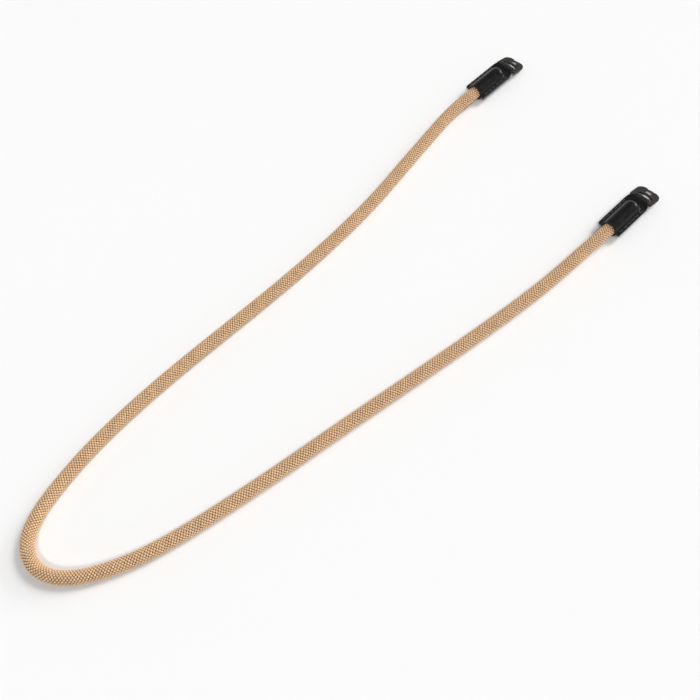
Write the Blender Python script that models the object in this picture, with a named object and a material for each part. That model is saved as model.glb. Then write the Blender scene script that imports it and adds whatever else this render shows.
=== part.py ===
"""A rope camera neck strap, lying flat with its two ends side by side.

A round braided rope has a folded leather tab sewn round each end. Each tab is looped through a steel
split ring, and through the slot of a small leather guard that lies on the ring. The ring leans down
from the tab's fold to the floor.

Metres, +Z up, floor at z = 0. X runs from end a to end b, and both ends point along +Y. The origin is
on the floor, under the middle of the box round the two ends.
"""

import math

import bpy
import numpy as np

# Gap between neighbouring pieces
GAP = 0.0003

# Rope
ROPE_DIAMETER = 0.0100
ROPE_INSERT = 0.0260        # length of rope inside a tab
ROPE_STEP = 0.0138          # between the tube's points
ROPE_STRAIGHT = 0.0060      # runs straight this far out of a tab
ROPE_RISE = 0.0600          # rises over this length from the floor to the tab's middle

# Leather end tab: one strip folded over, with the rope's end between its two layers
TAB_LEATHER = 0.0013        # one layer
TAB_SEAM = 0.0019           # flat edge for the seam, beside the swell over the rope
TAB_FOOT_RADIUS = 0.0015    # hollow between the swell and the flat edge
TAB_DOME = 0.0060           # the swell closes over this length past the rope's end
TAB_JOIN = 0.0010           # flat stretch after the dome, up to where the layers part
TAB_EDGE = 0.0003           # rounding of the cut edges
TAB_CAVITY_SIDES = 24
FOLD_OPEN = 0.0032          # the layers spread over this length
FOLD_SLACK = 0.0008         # between the spread layers' start and the ring
FOLD_NARROW = 0.0036        # the strip has its narrow width over this length behind its nose
FOLD_SIDE_PLAY = 0.0004     # between the fold's sides and the inside of the ring

# Split ring: two flat coils of one steel strip
RING_DIAMETER = 0.0180
RING_WIRE = 0.0010          # radial thickness of the strip
RING_COIL = 0.0008          # height of one coil
RING_COIL_GAP = 0.0001
RING_PLAY = 0.0026          # between the inside of the ring and the wall of the fold
RING_STEP_AT = math.radians(52)     # where the strip steps up, from the far side
RING_STEP_SPAN = math.radians(36)

# Leather lug guard, lying on the ring
GUARD_LEATHER = 0.0013
GUARD_OVER = 0.00025        # wider than the tab by this at each side
GUARD_STRIP = 0.0023        # strip between its near edge and its slot, held in the fold
GUARD_SHORT = 0.0019        # the ring shows this far past its far edge
GUARD_NEAR_CORNER = 0.0012
GUARD_FAR_FLAT = 0.00075    # straight stretch of its far edge, from the notch to the round corner
SLOT_PLAY = 0.0007          # between the slot's straight side and the wall of the fold
SLOT_SIDE_PLAY = 0.0009     # between the slot's ends and the fold's sides
SLOT_CROWN = 0.0030         # crown of the slot's curved side, past the nose of the fold
NOTCH_WIDTH = 0.0050
NOTCH_EYE = 0.0061          # from the notch's floor to the inside of the ring
NOTCH_CORNER = 0.0009

# The two ends
END_SPREAD = 0.1663         # between the tabs' centre lines
END_STAGGER = 0.0385        # end a lies this much further along +Y than end b

# The rope's route on the floor, from end a to end b, chosen by hand: x and y
ROPE_ROUTE = (
    (-0.0834, -0.0280), (-0.0815, -0.0510), (-0.0779, -0.0735), (-0.0750, -0.0912),
    (-0.0673, -0.1357), (-0.0626, -0.1803), (-0.0608, -0.2154), (-0.0603, -0.2503),
    (-0.0607, -0.2856), (-0.0614, -0.3203), (-0.0616, -0.3541), (-0.0604, -0.3901),
    (-0.0575, -0.4229), (-0.0530, -0.4491), (-0.0486, -0.4671), (-0.0429, -0.4823),
    (-0.0339, -0.4944), (-0.0221, -0.5001), (-0.0090, -0.4989), (0.0023, -0.4917),
    (0.0111, -0.4811), (0.0191, -0.4669), (0.0261, -0.4503), (0.0326, -0.4284),
    (0.0402, -0.3922), (0.0474, -0.3497), (0.0547, -0.3003), (0.0623, -0.2508),
    (0.0698, -0.2014), (0.0758, -0.1568), (0.0797, -0.1200), (0.0814, -0.0919),
    (0.0824, -0.0680),
)

# What follows for the tab's swell and the guard's outline
ROPE_RADIUS = ROPE_DIAMETER / 2
CAVITY_RADIUS = ROPE_RADIUS + GAP
SWELL_RADIUS = CAVITY_RADIUS + TAB_LEATHER
SWELL_FOOT = math.sqrt((SWELL_RADIUS + TAB_FOOT_RADIUS) ** 2 - (TAB_LEATHER + TAB_FOOT_RADIUS) ** 2)
TAB_WIDTH = 2 * (SWELL_FOOT + TAB_SEAM)
TAB_MIDDLE = SWELL_RADIUS                       # height of the tab's middle plane
GUARD_WIDTH = TAB_WIDTH + 2 * GUARD_OVER
GUARD_FAR_CORNER = GUARD_WIDTH / 2 - NOTCH_WIDTH / 2 - NOTCH_CORNER - GUARD_FAR_FLAT
FOLD_START = ROPE_INSERT + TAB_DOME + TAB_JOIN  # where the layers part, from the mouth

# Heights of the ring and the guard, from the leaning middle line of the fold
RING_HEIGHT = 2 * RING_COIL + RING_COIL_GAP
STACK_HEIGHT = RING_HEIGHT + GAP + GUARD_LEATHER
POCKET_HALF = STACK_HEIGHT / 2 + GAP
FOLD_HALF = POCKET_HALF + TAB_LEATHER
RING_BOTTOM = -STACK_HEIGHT / 2
GUARD_BOTTOM = RING_BOTTOM + RING_HEIGHT + GAP

# Places along that line, from where the layers part
WALL_BACK = FOLD_HALF - math.sqrt(POCKET_HALF ** 2 - RING_BOTTOM ** 2)     # behind the nose
RING_NEAR = FOLD_OPEN + FOLD_SLACK
FOLD_LENGTH = RING_NEAR + RING_WIRE + RING_PLAY + WALL_BACK
RING_MIDDLE = RING_NEAR + RING_DIAMETER / 2
RING_TIP = RING_NEAR + RING_DIAMETER
RING_INSIDE = RING_DIAMETER / 2 - RING_WIRE
FOLD_CHORD = math.sqrt(RING_INSIDE ** 2 - (RING_MIDDLE - FOLD_LENGTH + WALL_BACK) ** 2)
FOLD_WIDTH = 2 * (FOLD_CHORD - FOLD_SIDE_PLAY)
SLOT_STRAIGHT = FOLD_LENGTH - WALL_BACK - SLOT_PLAY
SLOT_LENGTH = FOLD_WIDTH + 2 * SLOT_SIDE_PLAY
GUARD_NEAR = SLOT_STRAIGHT - GUARD_STRIP
GUARD_FAR = RING_TIP - GUARD_SHORT
NOTCH_FLOOR = RING_TIP - RING_WIRE - NOTCH_EYE


def lean_angle():
    """The slope at which the ring's far edge comes down to the floor."""
    reach = math.hypot(RING_TIP, RING_BOTTOM)
    return math.asin(TAB_MIDDLE / reach) - math.atan2(-RING_BOTTOM, RING_TIP)


LEAN = lean_angle()
END_REACH = FOLD_START + RING_TIP * math.cos(LEAN) + (RING_BOTTOM + RING_HEIGHT) * math.sin(LEAN)
MOUTH = {
    "a": (-END_SPREAD / 2, END_STAGGER / 2 - END_REACH / 2),
    "b": (END_SPREAD / 2, -END_STAGGER / 2 - END_REACH / 2),
}


def clear_scene():
    """Remove whatever the file holds."""
    for obj in list(bpy.data.objects):
        bpy.data.objects.remove(obj, do_unlink=True)


def make_material(name, colour, roughness, metallic=0.0):
    """A plain finish of one colour."""
    material = bpy.data.materials.new(name)
    material.use_nodes = True
    shader = material.node_tree.nodes["Principled BSDF"]
    shader.inputs["Base Color"].default_value = (*colour, 1.0)
    shader.inputs["Roughness"].default_value = roughness
    shader.inputs["Metallic"].default_value = metallic
    return material


def smooth_step(x):
    """0 below 0, 1 above 1, and a smooth rise between."""
    x = np.clip(x, 0.0, 1.0)
    return x * x * (3 - 2 * x)


def arc(centre, radius, start, end, steps):
    """Points on an arc, from the start angle to the end angle in degrees."""
    angles = np.radians(np.linspace(start, end, steps + 1))
    return [(centre[0] + radius * math.cos(a), centre[1] + radius * math.sin(a)) for a in angles]


def mesh_object(name, points, faces, material=None, parent=None):
    """An object made of points and faces, with smooth shading up to 35 degree edges."""
    mesh = bpy.data.meshes.new(name)
    mesh.from_pydata([tuple(p) for p in points], [], faces)
    mesh.shade_smooth()
    mesh.set_sharp_from_angle(angle=math.radians(35))
    obj = bpy.data.objects.new(name, mesh)
    bpy.context.scene.collection.objects.link(obj)
    if material is not None:
        mesh.materials.append(material)
    obj.parent = parent
    return obj


def bridge(sections):
    """Faces of a solid lofted through closed sections of as many points each, with flat ends."""
    count = len(sections[0])
    faces = []
    for row in range(len(sections) - 1):
        for i in range(count):
            a = row * count + i
            b = row * count + (i + 1) % count
            faces.append((a, b, b + count, a + count))
    last = (len(sections) - 1) * count
    faces.append(tuple(range(count - 1, -1, -1)))
    faces.append(tuple(range(last, last + count)))
    return faces


def prism(name, outline, bottom, top, material=None, parent=None):
    """An upright solid over an outline that runs anticlockwise."""
    sections = [[(x, y, z) for x, y in outline] for z in (bottom, top)]
    points = [p for section in sections for p in section]
    return mesh_object(name, points, bridge(sections), material, parent)


def cut(target, cutter):
    """Cut one object out of another and keep the cutter out of sight."""
    cutter.hide_render = True
    cutter.display_type = "WIRE"
    boolean = target.modifiers.new("cut_" + cutter.name, "BOOLEAN")
    boolean.operation = "DIFFERENCE"
    boolean.solver = "EXACT"
    boolean.object = cutter


def make_empty(name, location, lean=0.0, parent=None):
    """A frame that carries the pieces of one end."""
    empty = bpy.data.objects.new(name, None)
    empty.location = location
    empty.rotation_euler = (-lean, 0.0, 0.0)
    empty.parent = parent
    bpy.context.scene.collection.objects.link(empty)
    return empty


def half_section(swell, half_width, half_thickness):
    """Points (x, height) from the middle of a tab's section to its edge.

    A round swell of the given radius turns through a hollow foot into the flat layer. The columns
    follow the foot inwards as the swell shrinks, so the dome closes in rings.
    """
    foot = TAB_FOOT_RADIUS
    foot_end = math.sqrt(max(0.0, (swell + foot) ** 2 - (half_thickness + foot) ** 2))
    touch = foot_end * swell / (swell + foot)
    shares = (0.0, 0.22, 0.43, 0.61, 0.74, 0.84, 0.92, 1.0)
    points = []
    for share in shares:
        x = share * max(foot_end, 0.35 * SWELL_FOOT)
        if x < touch:
            height = math.sqrt(swell ** 2 - x ** 2)
        elif x < foot_end:
            height = half_thickness + foot - math.sqrt(foot ** 2 - (foot_end - x) ** 2)
        else:
            height = half_thickness
        points.append((x, max(height, half_thickness)))
    points.append((half_width - TAB_EDGE, half_thickness))
    points.append((half_width, half_thickness - TAB_EDGE))
    return points


def closed_section(half, place):
    """The whole section, clockwise as seen from the mouth, with each point put in its place."""
    loop = list(half)
    loop += [(x, -h) for x, h in reversed(half)]
    loop += [(-x, -h) for x, h in half[1:]]
    loop += [(-x, h) for x, h in reversed(half[1:])]
    return [place(x, h) for x, h in loop]


def spread(s):
    """How far each layer stands from the middle line, s past the point where they part."""
    return POCKET_HALF * float(smooth_step(s / FOLD_OPEN))


def strip_half_width(s):
    """Half the strip's width, s past the point where its layers part."""
    narrow = float(smooth_step(s / (FOLD_LENGTH - FOLD_NARROW)))
    return TAB_WIDTH / 2 + (FOLD_WIDTH - TAB_WIDTH) / 2 * narrow


def tab_sections():
    """Sections of a tab from its mouth to the nose of its fold, in the tab's own frame."""
    sections = []

    def upright(y):
        return lambda x, h: (x, y, TAB_MIDDLE + h)

    def leaning(s):
        base_y = FOLD_START + s * math.cos(LEAN)
        base_z = TAB_MIDDLE - s * math.sin(LEAN)
        return lambda x, h: (x, base_y + h * math.sin(LEAN), base_z + h * math.cos(LEAN))

    # Sleeve round the rope
    for share in (0.0, 0.33, 0.67):
        half = half_section(SWELL_RADIUS, TAB_WIDTH / 2, TAB_LEATHER)
        sections.append(closed_section(half, upright(share * ROPE_INSERT)))
    # Dome that closes the sleeve
    closing = math.acos(TAB_LEATHER / SWELL_RADIUS)
    for turn in np.linspace(0.0, closing, 8):
        swell = max(SWELL_RADIUS * math.cos(turn), TAB_LEATHER)
        half = half_section(swell, TAB_WIDTH / 2, TAB_LEATHER)
        sections.append(closed_section(half, upright(ROPE_INSERT + TAB_DOME * math.sin(turn))))
    # Layers parting round the ring and the guard
    nose = FOLD_LENGTH - FOLD_HALF
    for s in np.linspace(0.0, nose, 9):
        thick = TAB_LEATHER + spread(s)
        half = half_section(thick, strip_half_width(s), thick)
        sections.append(closed_section(half, leaning(s)))
    # Round nose of the fold
    for turn in np.radians((20, 40, 58, 74)):
        s = nose + FOLD_HALF * math.sin(turn)
        thick = FOLD_HALF * math.cos(turn)
        half = half_section(thick, strip_half_width(s), thick)
        sections.append(closed_section(half, leaning(s)))
    return sections


def pocket_outline():
    """The hollow inside the fold, seen from the side: distance past the parting and height."""
    nose = FOLD_LENGTH - FOLD_HALF
    stations = np.linspace(0.12, 1.0, 6) * FOLD_OPEN
    bottom = [(s, -spread(s)) for s in stations]
    crown = arc((nose, 0.0), POCKET_HALF, -90, 90, 8)
    top = [(s, -h) for s, h in reversed(bottom)]
    return bottom + crown + top


def make_tab(end, leather, carrier, lean_carrier):
    """A leather tab: the lofted strip, cut out for the rope's end and for what its fold holds."""
    sections = tab_sections()
    points = [p for section in sections for p in section]
    tab = mesh_object(f"end_tab_{end}", points, bridge(sections), leather, carrier)

    sides = TAB_CAVITY_SIDES
    radius = CAVITY_RADIUS / math.cos(math.pi / sides)
    ring = arc((0.0, TAB_MIDDLE), radius, 0, 360 - 360 / sides, sides - 1)
    ends = (ROPE_INSERT + GAP, -TAB_WIDTH)
    rows = [[(x, y, z) for x, z in ring] for y in ends]
    cavity = mesh_object(f"cut_rope_{end}", [p for row in rows for p in row], bridge(rows))
    cavity.parent = carrier
    cut(tab, cavity)

    outline = pocket_outline()
    rows = [[(x, s, h) for s, h in outline] for x in (-TAB_WIDTH, TAB_WIDTH)]
    pocket = mesh_object(f"cut_pocket_{end}", [p for row in rows for p in row], bridge(rows))
    pocket.parent = lean_carrier
    cut(tab, pocket)
    return tab


def guard_outline():
    """Rounded plate with a lug notch in its far edge, anticlockwise: x, and s past the parting."""
    side = GUARD_WIDTH / 2
    small = GUARD_NEAR_CORNER
    large = GUARD_FAR_CORNER
    inner = NOTCH_WIDTH / 2
    turn = NOTCH_CORNER
    right = arc((side - small, GUARD_NEAR + small), small, -90, 0, 3)
    right += arc((side - large, GUARD_FAR - large), large, 0, 90, 7)
    right += arc((inner + turn, GUARD_FAR - turn), turn, 90, 180, 2)
    right += arc((inner - turn, NOTCH_FLOOR + turn), turn, 0, -90, 3)
    left = [(-x, s) for x, s in reversed(right)]
    return right + left


def slot_outline():
    """D-shaped slot: straight on the tab's side, bowed on the far side."""
    crown = FOLD_LENGTH + SLOT_CROWN
    half = SLOT_LENGTH / 2
    shoulder = FOLD_LENGTH + GAP
    angles = np.radians(np.linspace(0, 180, 13))
    bow = [(half * math.cos(a), shoulder + (crown - shoulder) * math.sin(a)) for a in angles]
    return [(-half, SLOT_STRAIGHT), (half, SLOT_STRAIGHT)] + bow


def make_guard(end, leather, lean_carrier):
    """The leather plate that keeps the ring off the thing it is fastened to."""
    top = GUARD_BOTTOM + GUARD_LEATHER
    guard = prism(f"lug_guard_{end}", guard_outline(), GUARD_BOTTOM, top, leather, lean_carrier)
    slot = prism(f"cut_slot_{end}", slot_outline(), GUARD_BOTTOM - GAP, top + GAP)
    slot.parent = lean_carrier
    cut(guard, slot)
    return guard


def make_ring(end, steel, lean_carrier):
    """Two coils of flat strip. The lower coil steps up into the upper one at one place."""
    half_step = RING_STEP_SPAN / 2
    turns = np.linspace(half_step, 4 * math.pi - half_step, 113)
    level = smooth_step((turns - (2 * math.pi - half_step)) / RING_STEP_SPAN)
    outer = RING_DIAMETER / 2
    inner = RING_INSIDE
    sections = []
    for turn, rise in zip(turns, level):
        angle = math.pi / 2 - RING_STEP_AT + turn
        bottom = RING_BOTTOM + rise * (RING_COIL + RING_COIL_GAP)
        corners = ((outer, 0.0), (inner, 0.0), (inner, RING_COIL), (outer, RING_COIL))
        sections.append([
            (r * math.cos(angle), RING_MIDDLE + r * math.sin(angle), bottom + h)
            for r, h in corners
        ])
    points = [p for section in sections for p in section]
    return mesh_object(f"split_ring_{end}", points, bridge(sections), steel, lean_carrier)


def smooth_curve(points, step):
    """Points a step apart along the natural cubic spline through some points in the plane."""
    points = np.array(points)
    count = len(points)
    at = np.concatenate([[0.0], np.cumsum(np.linalg.norm(np.diff(points, axis=0), axis=1))])
    span = np.diff(at)[:, None]
    matrix = np.eye(count)
    bend = np.zeros((count, 2))
    for i in range(1, count - 1):
        matrix[i, i - 1:i + 2] = (span[i - 1, 0], 2 * (span[i - 1, 0] + span[i, 0]), span[i, 0])
        rise = (points[i + 1] - points[i]) / span[i] - (points[i] - points[i - 1]) / span[i - 1]
        bend[i] = 6 * rise
    bend = np.linalg.solve(matrix, bend)
    where = np.linspace(0.0, at[-1], round(at[-1] / step) + 1)
    i = np.clip(np.searchsorted(at, where, side="right") - 1, 0, count - 2)
    a = (at[i + 1] - where)[:, None]
    b = (where - at[i])[:, None]
    h = span[i]
    line = (points[i] * a + points[i + 1] * b) / h
    curve = bend[i] * (a ** 3 / h - a * h) + bend[i + 1] * (b ** 3 / h - b * h)
    return line + curve / 6


def rope_centreline():
    """The rope's route with its height: on the floor, and up to the tabs' middle at its ends."""
    into = [ROPE_INSERT, 0.0, -ROPE_STRAIGHT]
    first = [(MOUTH["a"][0], MOUTH["a"][1] + y) for y in into]
    last = [(MOUTH["b"][0], MOUTH["b"][1] + y) for y in reversed(into)]
    flat = smooth_curve(first + list(ROPE_ROUTE) + last, ROPE_STEP)
    run = np.concatenate([[0.0], np.cumsum(np.linalg.norm(np.diff(flat, axis=0), axis=1))])
    from_end = np.minimum(run, run[-1] - run) - ROPE_INSERT - ROPE_STRAIGHT
    lift = (TAB_MIDDLE - ROPE_RADIUS) * (1 - smooth_step(from_end / ROPE_RISE))
    return np.column_stack([flat, ROPE_RADIUS + lift])


def make_rope(material):
    """The rope as a plain round tube along its route."""
    centreline = rope_centreline()
    curve = bpy.data.curves.new("rope", "CURVE")
    curve.dimensions = "3D"
    curve.bevel_depth = ROPE_RADIUS
    curve.bevel_resolution = 4
    curve.use_fill_caps = True
    spline = curve.splines.new("POLY")
    spline.points.add(len(centreline) - 1)
    for point, place in zip(spline.points, centreline):
        point.co = (*place, 1.0)
    curve.materials.append(material)
    rope = bpy.data.objects.new("rope", curve)
    bpy.context.scene.collection.objects.link(rope)
    return rope


def main():
    """Build the whole strap."""
    clear_scene()
    cord = make_material("braided_cord", (0.60, 0.36, 0.17), 0.6)
    leather = make_material("black_leather", (0.012, 0.011, 0.011), 0.45)
    guard_leather = make_material("guard_leather", (0.020, 0.016, 0.013), 0.55)
    steel = make_material("dark_steel", (0.18, 0.18, 0.19), 0.3, 1.0)
    make_rope(cord)
    for end, (x, y) in MOUTH.items():
        carrier = make_empty(f"end_{end}", (x, y, 0.0))
        lean_carrier = make_empty(f"lean_{end}", (0.0, FOLD_START, TAB_MIDDLE), LEAN, carrier)
        make_tab(end, leather, carrier, lean_carrier)
        make_guard(end, guard_leather, lean_carrier)
        make_ring(end, steel, lean_carrier)
    bpy.context.view_layer.update()


main()
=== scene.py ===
"""Looks of a rope neck strap: its braid, stitched leather ends, steel rings and the stage.

Everything is in metres, +Z up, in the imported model's own frame. Sizes that the solids share are
repeated here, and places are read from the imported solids.
"""

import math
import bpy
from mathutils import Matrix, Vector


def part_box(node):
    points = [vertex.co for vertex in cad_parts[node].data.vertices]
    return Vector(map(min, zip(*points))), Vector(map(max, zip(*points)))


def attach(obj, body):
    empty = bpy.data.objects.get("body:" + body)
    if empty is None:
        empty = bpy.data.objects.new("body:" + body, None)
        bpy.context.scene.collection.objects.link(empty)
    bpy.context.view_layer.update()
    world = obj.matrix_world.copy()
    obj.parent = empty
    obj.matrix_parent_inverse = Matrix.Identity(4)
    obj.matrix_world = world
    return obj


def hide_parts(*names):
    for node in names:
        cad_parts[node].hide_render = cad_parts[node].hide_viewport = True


bl_info = {
    "name": "Rope Neck Strap Looks",
    "version": (1, 0, 0),
    "blender": (4, 5, 0),
    "location": "View3D > Sidebar > Strap",
    "description": "Builds the braid, leather, stitches, steel and stage of a rope strap",
    "category": "Object",
}

import bpy
import numpy as np
from bpy.props import FloatProperty, FloatVectorProperty, IntProperty, PointerProperty
from mathutils import Matrix, Vector

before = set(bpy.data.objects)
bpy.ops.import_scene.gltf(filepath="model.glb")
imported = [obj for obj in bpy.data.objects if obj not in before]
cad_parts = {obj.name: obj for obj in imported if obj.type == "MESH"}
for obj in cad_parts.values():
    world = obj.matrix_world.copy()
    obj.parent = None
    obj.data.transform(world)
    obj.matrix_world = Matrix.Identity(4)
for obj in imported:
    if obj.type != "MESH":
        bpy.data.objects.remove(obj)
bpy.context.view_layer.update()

ENDS = ("a", "b")
TAB_BOX = {end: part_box(f"end_tab_{end}") for end in ENDS}
# The middle of each tab's mouth, on the floor
MOUTH = {end: ((low.x + high.x) / 2, low.y) for end, (low, high) in TAB_BOX.items()}
TAB_WIDTH = TAB_BOX["a"][1].x - TAB_BOX["a"][0].x
TAB_MIDDLE = TAB_BOX["a"][1].z / 2

# The rope's route on the floor, from end a to end b, as x and y
ROPE_ROUTE = (
    (-0.0834, -0.0280), (-0.0815, -0.0510), (-0.0779, -0.0735), (-0.0750, -0.0912),
    (-0.0673, -0.1357), (-0.0626, -0.1803), (-0.0608, -0.2154), (-0.0603, -0.2503),
    (-0.0607, -0.2856), (-0.0614, -0.3203), (-0.0616, -0.3541), (-0.0604, -0.3901),
    (-0.0575, -0.4229), (-0.0530, -0.4491), (-0.0486, -0.4671), (-0.0429, -0.4823),
    (-0.0339, -0.4944), (-0.0221, -0.5001), (-0.0090, -0.4989), (0.0023, -0.4917),
    (0.0111, -0.4811), (0.0191, -0.4669), (0.0261, -0.4503), (0.0326, -0.4284),
    (0.0402, -0.3922), (0.0474, -0.3497), (0.0547, -0.3003), (0.0623, -0.2508),
    (0.0698, -0.2014), (0.0758, -0.1568), (0.0797, -0.1200), (0.0814, -0.0919),
    (0.0824, -0.0680),
)
ROPE_INSERT = 0.0260
ROPE_STRAIGHT = 0.0060
ROPE_RISE = 0.0600
CORE_STEP = 0.002
CORE_SIDES = 20
CORE_CLEAR = 0.00005

# Leather ends: the same sizes as the solids
LEATHER = 0.0013
FOOT_RADIUS = 0.0015
SWELL_RADIUS = TAB_MIDDLE
CAVITY_RADIUS = SWELL_RADIUS - LEATHER
FOLD_START = 0.0330
FOLD_OPEN = 0.0032
FOLD_LENGTH = 0.00981
FOLD_NARROW = 0.0036
FOLD_WIDTH = 0.0110
POCKET_HALF = 0.00195
FOLD_HALF = POCKET_HALF + LEATHER
LEAN = math.radians(13.118)
LEAN_EASE = 0.005
# The dome rounds off faster than a ball, outside and inside
DOME_STEEP = 1.10
CAVITY_STEEP = 1.3
# The gap between closed layers, and the rows along each
LAYER_GAP = 0.00003
LAYER_ROWS = 145

# In the leather's face: each row's pressed groove and its painted shade, with a bridge at each hole
STITCH_FIRST = 0.0022
GROOVE_HALF = 0.00055
GROOVE_DEPTH = 0.00038
GROOVE_EASE = 0.001
BRIDGE_HALF = 0.00065
BRIDGE_HEIGHT = 0.00050
# Painted highlight: each bridge takes this share of the cut edge's paler colour
BRIDGE_HIGHLIGHT = 0.8
SHADE_HALF = 0.00065
SHADE_PAST = 0.0006

# A row of plain ticks down the middle of the dome
TICKS = 9
TICK_FIRST = 0.0026
TICK_PITCH = 0.00245
TICK_ASIDE = 0.0004
TICK_REACH = 0.00140
TICK_HALF = 0.00050
TICK_EASE = 0.0003
TICK_DEPTH = 0.00040
TICK_DARK = 0.0003

# Guard and ring: the same sizes as the solids, measured along the leaning line of the fold
GUARD_BOTTOM = 0.00035
GUARD_NEAR = 0.0046
GUARD_FAR = 0.0201
GUARD_WIDTH = TAB_WIDTH + 0.0005
GUARD_NEAR_CORNER = 0.0012
GUARD_FAR_CORNER = 0.0056
SLOT_STRAIGHT = 0.0069
SLOT_SHOULDER = 0.01011
SLOT_CROWN = 0.01281
SLOT_LENGTH = 0.0128
NOTCH_WIDTH = 0.0050
NOTCH_FLOOR = 0.0149
NOTCH_CORNER = 0.0009
RING_MIDDLE = 0.0130
RING_RADIUS = 0.0090
RING_WIRE = 0.0010
RING_COIL = 0.0008
RING_COIL_GAP = 0.0001
RING_BOTTOM = -0.00165
RING_STEP_AT = math.radians(52)
RING_STEP_SPAN = math.radians(36)

# Lights: name, where from, strength, spread in degrees, and whether surfaces mirror it
LAMPS = (
    ("key_light", (0.17, 0.68, 0.71), 1.70, 22.0, False),
    ("rim_light", (0.22, 0.90, 0.36), 1.00, 20.0, True),
    ("front_light", (0.40, -0.38, 0.83), 1.00, 12.0, True),
)
FLOOR_REACH = 6.0
FLOOR_DROP = 0.0001


class RopeSettings(bpy.types.PropertyGroup):
    """Sizes and colours of the braided rope."""

    diameter: FloatProperty(
        name="Diameter", description="Across the braid", default=0.0100, unit="LENGTH")
    strands: IntProperty(
        name="Strands", description="Strands in the braid, half of them each way round", default=20,
        min=4)
    pitch: FloatProperty(
        name="Pitch", description="From one float to the next, along the rope", default=0.00213,
        unit="LENGTH")
    strand_width: FloatProperty(
        name="Strand width", description="Across one strand where it lies on top",
        default=0.00170, unit="LENGTH")
    strand_height: FloatProperty(
        name="Strand height", description="Through one strand where it lies on top",
        default=0.00102, unit="LENGTH")
    wave: FloatProperty(
        name="Wave", description="How far a strand rises and dives at each crossing",
        default=0.00046, unit="LENGTH")
    light: FloatVectorProperty(
        name="Light yarn", description="Colour of the yarn on the floats",
        default=(0.800, 0.513, 0.286), subtype="COLOR", min=0.0, max=1.0)
    # Painted shade: the dark colour the yarn turns to low in the gaps, also the core's colour
    gap_shade: FloatVectorProperty(
        name="Deep yarn", description="Colour of the yarn in the gaps",
        default=(0.060, 0.024, 0.009), subtype="COLOR", min=0.0, max=1.0)


class TabSettings(bpy.types.PropertyGroup):
    """Sizes and colours of the leather ends, their stitches and their guards."""

    edge_round: FloatProperty(
        name="Edge rounding", description="Rounding of a cut leather edge", default=0.00035,
        unit="LENGTH")
    stitch_line: FloatProperty(
        name="Stitch line", description="From the tab's middle line to a row of stitches",
        default=0.0080, unit="LENGTH")
    stitch_pitch: FloatProperty(
        name="Stitch pitch", description="From hole to hole along a row", default=0.0047,
        unit="LENGTH")
    stitches: IntProperty(
        name="Stitches", description="Stitches in each row", default=6, min=1)
    thread: FloatProperty(
        name="Thread", description="Thickness of the sewing thread", default=0.00085, unit="LENGTH")
    leather: FloatVectorProperty(
        name="Leather", description="Colour of the leather's face",
        default=(0.0022, 0.0021, 0.0021), subtype="COLOR", min=0.0, max=1.0)
    cut_edge: FloatVectorProperty(
        name="Cut edge", description="Colour of a cut leather edge",
        default=(0.012, 0.0095, 0.008), subtype="COLOR", min=0.0, max=1.0)
    guard: FloatVectorProperty(
        name="Guard", description="Colour of the guards' leather",
        default=(0.016, 0.0128, 0.0104), subtype="COLOR", min=0.0, max=1.0)
    steel: FloatVectorProperty(
        name="Steel", description="Colour of the blackened rings", default=(0.18, 0.18, 0.19),
        subtype="COLOR", min=0.0, max=1.0)


class StageSettings(bpy.types.PropertyGroup):
    """The camera, the floor and the light."""

    place: FloatVectorProperty(
        name="Camera place", description="Where the camera stands",
        default=(0.2840, -0.4579, 0.5830), subtype="TRANSLATION", unit="LENGTH")
    heading: FloatProperty(
        name="Heading", description="Turn of the view from +Y towards -X",
        default=math.radians(52.24), subtype="ANGLE")
    elevation: FloatProperty(
        name="Elevation", description="How far down the camera looks",
        default=math.radians(59.6), subtype="ANGLE")
    roll: FloatProperty(
        name="Roll", description="Turn of the picture about the view",
        default=math.radians(7.8), subtype="ANGLE")
    lens: FloatProperty(
        name="Lens", description="Focal length in millimetres on a 36 mm sensor", default=48.86)
    floor: FloatVectorProperty(
        name="Floor", description="Colour of the floor", default=(0.88, 0.88, 0.88),
        subtype="COLOR", min=0.0, max=1.0)


def length_along(line):
    """Distance run along a line of points, at each of them."""
    return np.concatenate([[0.0], np.cumsum(np.linalg.norm(np.diff(line, axis=0), axis=1))])


def smooth_step(x):
    """0 below 0, 1 above 1, and three squares less two cubes between."""
    x = np.clip(x, 0.0, 1.0)
    return x * x * (3 - 2 * x)


def smooth_curve(points, step):
    """Points a step apart along the natural cubic spline through some points in the plane.

    The knots lie at the distance run. The second derivatives m solve
    h0 m0 + 2 (h0 + h1) m1 + h1 m2 = 6 (slope1 - slope0), and are zero at both ends.
    """
    points = np.asarray(points)
    knots = length_along(points)
    span = np.diff(knots)[:, None]
    slope = np.diff(points, axis=0) / span
    inner = np.arange(1, len(points) - 1)
    matrix = np.eye(len(points))
    matrix[inner, inner - 1] = span[:-1, 0]
    matrix[inner, inner] = 2 * (span[:-1, 0] + span[1:, 0])
    matrix[inner, inner + 1] = span[1:, 0]
    pull = np.zeros_like(points)
    pull[1:-1] = 6 * np.diff(slope, axis=0)
    bend = np.linalg.solve(matrix, pull)
    where = np.linspace(0.0, knots[-1], round(knots[-1] / step) + 1)
    i = np.clip(np.searchsorted(knots, where, side="right") - 1, 0, len(points) - 2)
    a = (knots[i + 1] - where)[:, None]
    b = (where - knots[i])[:, None]
    h = span[i]
    line = (points[i] * a + points[i + 1] * b) / h
    return line + (bend[i] * (a ** 3 / h - a * h) + bend[i + 1] * (b ** 3 / h - b * h)) / 6


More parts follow.
